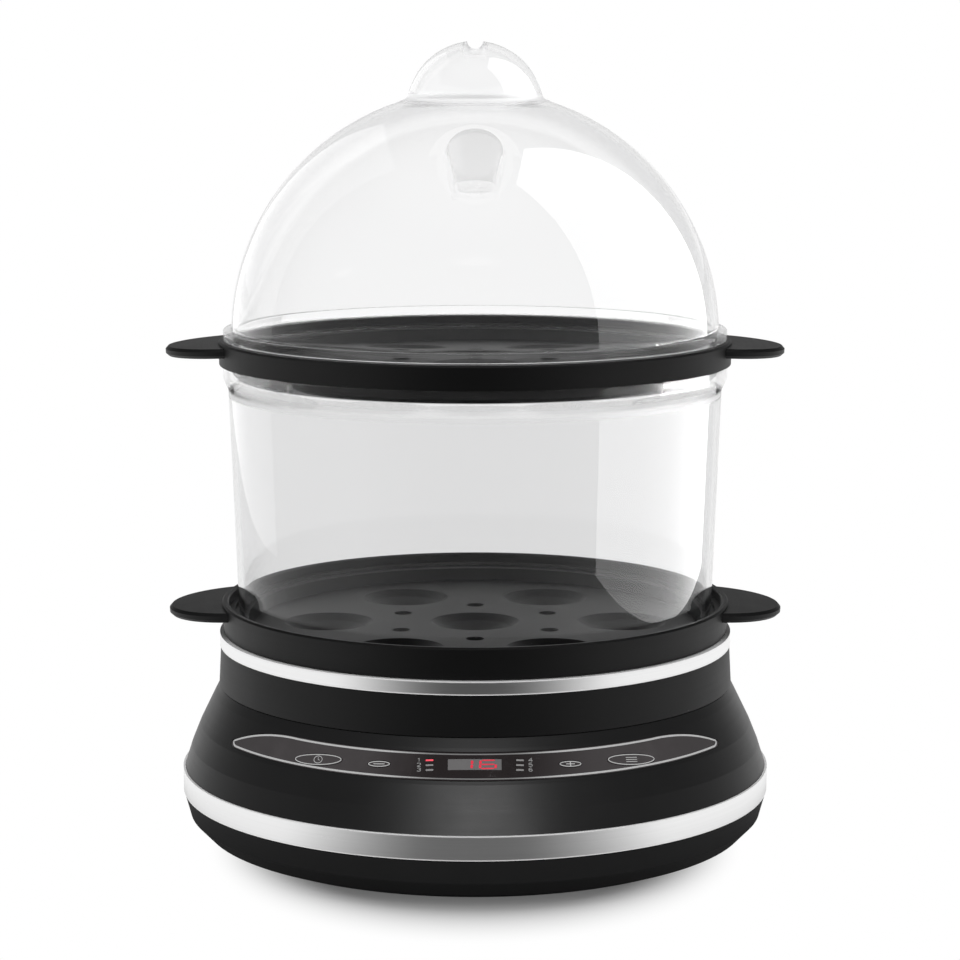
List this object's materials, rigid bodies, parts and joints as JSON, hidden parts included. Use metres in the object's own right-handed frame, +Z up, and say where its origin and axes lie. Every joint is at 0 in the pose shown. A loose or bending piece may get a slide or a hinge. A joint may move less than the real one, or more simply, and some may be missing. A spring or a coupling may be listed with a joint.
{
  "type": "two-tier electric egg cooker",
  "caption": "Electric egg steamer: bell-shaped heater base with a curved key panel, egg trays with side handles, a clear ring between them and a clear vented dome lid with a ball knob.",
  "frame": {"origin": "point on the table under the pot's axis, midway between the handle tips and between front and back, at the underside of the feet", "axes": "+Z up along the pot's axis, +X towards the handle at the right of the control panel, -Y towards the front, where the control panel is"},
  "size_m": [0.2018, 0.1936, 0.2613],
  "materials": {
    "black_plastic": "satin",
    "silver_trim": "brushed",
    "panel_gloss": "glossy",
    "key_gloss": "glossy",
    "window_grey": "glossy",
    "display_red": "glossy",
    "lamp_white": "satin",
    "clear_plastic": "clear, glossy",
    "dish_steel": "satin",
    "element_steel": "matt",
    "hardware_steel": "polished",
    "sensor_metal": "matt",
    "silicone_grey": "matt",
    "rubber_black": "matt",
    "board_green": "satin",
    "core_iron": "matt",
    "part_blue": "satin",
    "part_white": "satin",
    "part_black": "satin",
    "can_metal": "satin",
    "ribbon_grey": "satin"
  },
  "bodies": {
    "base": {"bottom_cover": "black_plastic", "rubber_feet": "rubber_black", "cover_screws": "hardware_steel", "base_band": "silver_trim", "skirt_housing": "black_plastic", "neck_collar": "black_plastic", "collar_band": "silver_trim", "panel_lens": "panel_gloss", "display_window": "window_grey", "display_module": "display_red", "display_board": "board_green", "indicator_lights": "lamp_white", "key_board_left": "board_green", "key_board_right": "board_green", "tact_switches": "part_black", "panel_screws": "hardware_steel", "heating_plate": "dish_steel", "plate_seal": "silicone_grey", "plate_nuts": "hardware_steel", "heating_element": "element_steel", "thermostat": "sensor_metal", "thermostat_bridge": "dish_steel", "thermal_fuse": "part_white", "power_board": "board_green", "transformer": "core_iron", "relay": "part_blue", "capacitor": "can_metal", "terminal_block": "part_white", "buzzer": "part_black", "board_screws": "hardware_steel", "element_leads": "silicone_grey", "ribbon_cable": "ribbon_grey", "cord_gland": "rubber_black"},
    "timer_key": {"timer_key": "key_gloss"},
    "minus_key": {"minus_key": "key_gloss"},
    "plus_key": {"plus_key": "key_gloss"},
    "menu_key": {"menu_key": "key_gloss"},
    "lower_tray": {"lower_tray": "black_plastic"},
    "middle_ring": {"middle_ring": "clear_plastic"},
    "upper_tray": {"upper_tray": "black_plastic"},
    "lid": {"lid": "clear_plastic"}
  },
  "joints": [
    {"name": "lower_tray_lift", "type": "slide", "parent": "base", "child": "lower_tray", "axis": [0, 0, 1], "range_m": [0, 0.08]},
    {"name": "middle_ring_lift", "type": "slide", "parent": "lower_tray", "child": "middle_ring", "axis": [0, 0, 1], "range_m": [0, 0.09]},
    {"name": "upper_tray_lift", "type": "slide", "parent": "middle_ring", "child": "upper_tray", "axis": [0, 0, 1], "range_m": [0, 0.08]},
    {"name": "lid_lift", "type": "slide", "parent": "upper_tray", "child": "lid", "axis": [0, 0, 1], "range_m": [0, 0.1]},
    {"name": "timer_key_press", "type": "slide", "parent": "base", "child": "timer_key", "axis": [0.4856, 0.7553, -0.4402], "range_m": [0, 0.0004], "stiffness_N_per_m": 900},
    {"name": "minus_key_press", "type": "slide", "parent": "base", "child": "minus_key", "axis": [0.2952, 0.848, -0.4402], "range_m": [0, 0.0004], "stiffness_N_per_m": 900},
    {"name": "plus_key_press", "type": "slide", "parent": "base", "child": "plus_key", "axis": [-0.2952, 0.848, -0.4402], "range_m": [0, 0.0004], "stiffness_N_per_m": 900},
    {"name": "menu_key_press", "type": "slide", "parent": "base", "child": "menu_key", "axis": [-0.4856, 0.7553, -0.4402], "range_m": [0, 0.0004], "stiffness_N_per_m": 900}
  ]
}
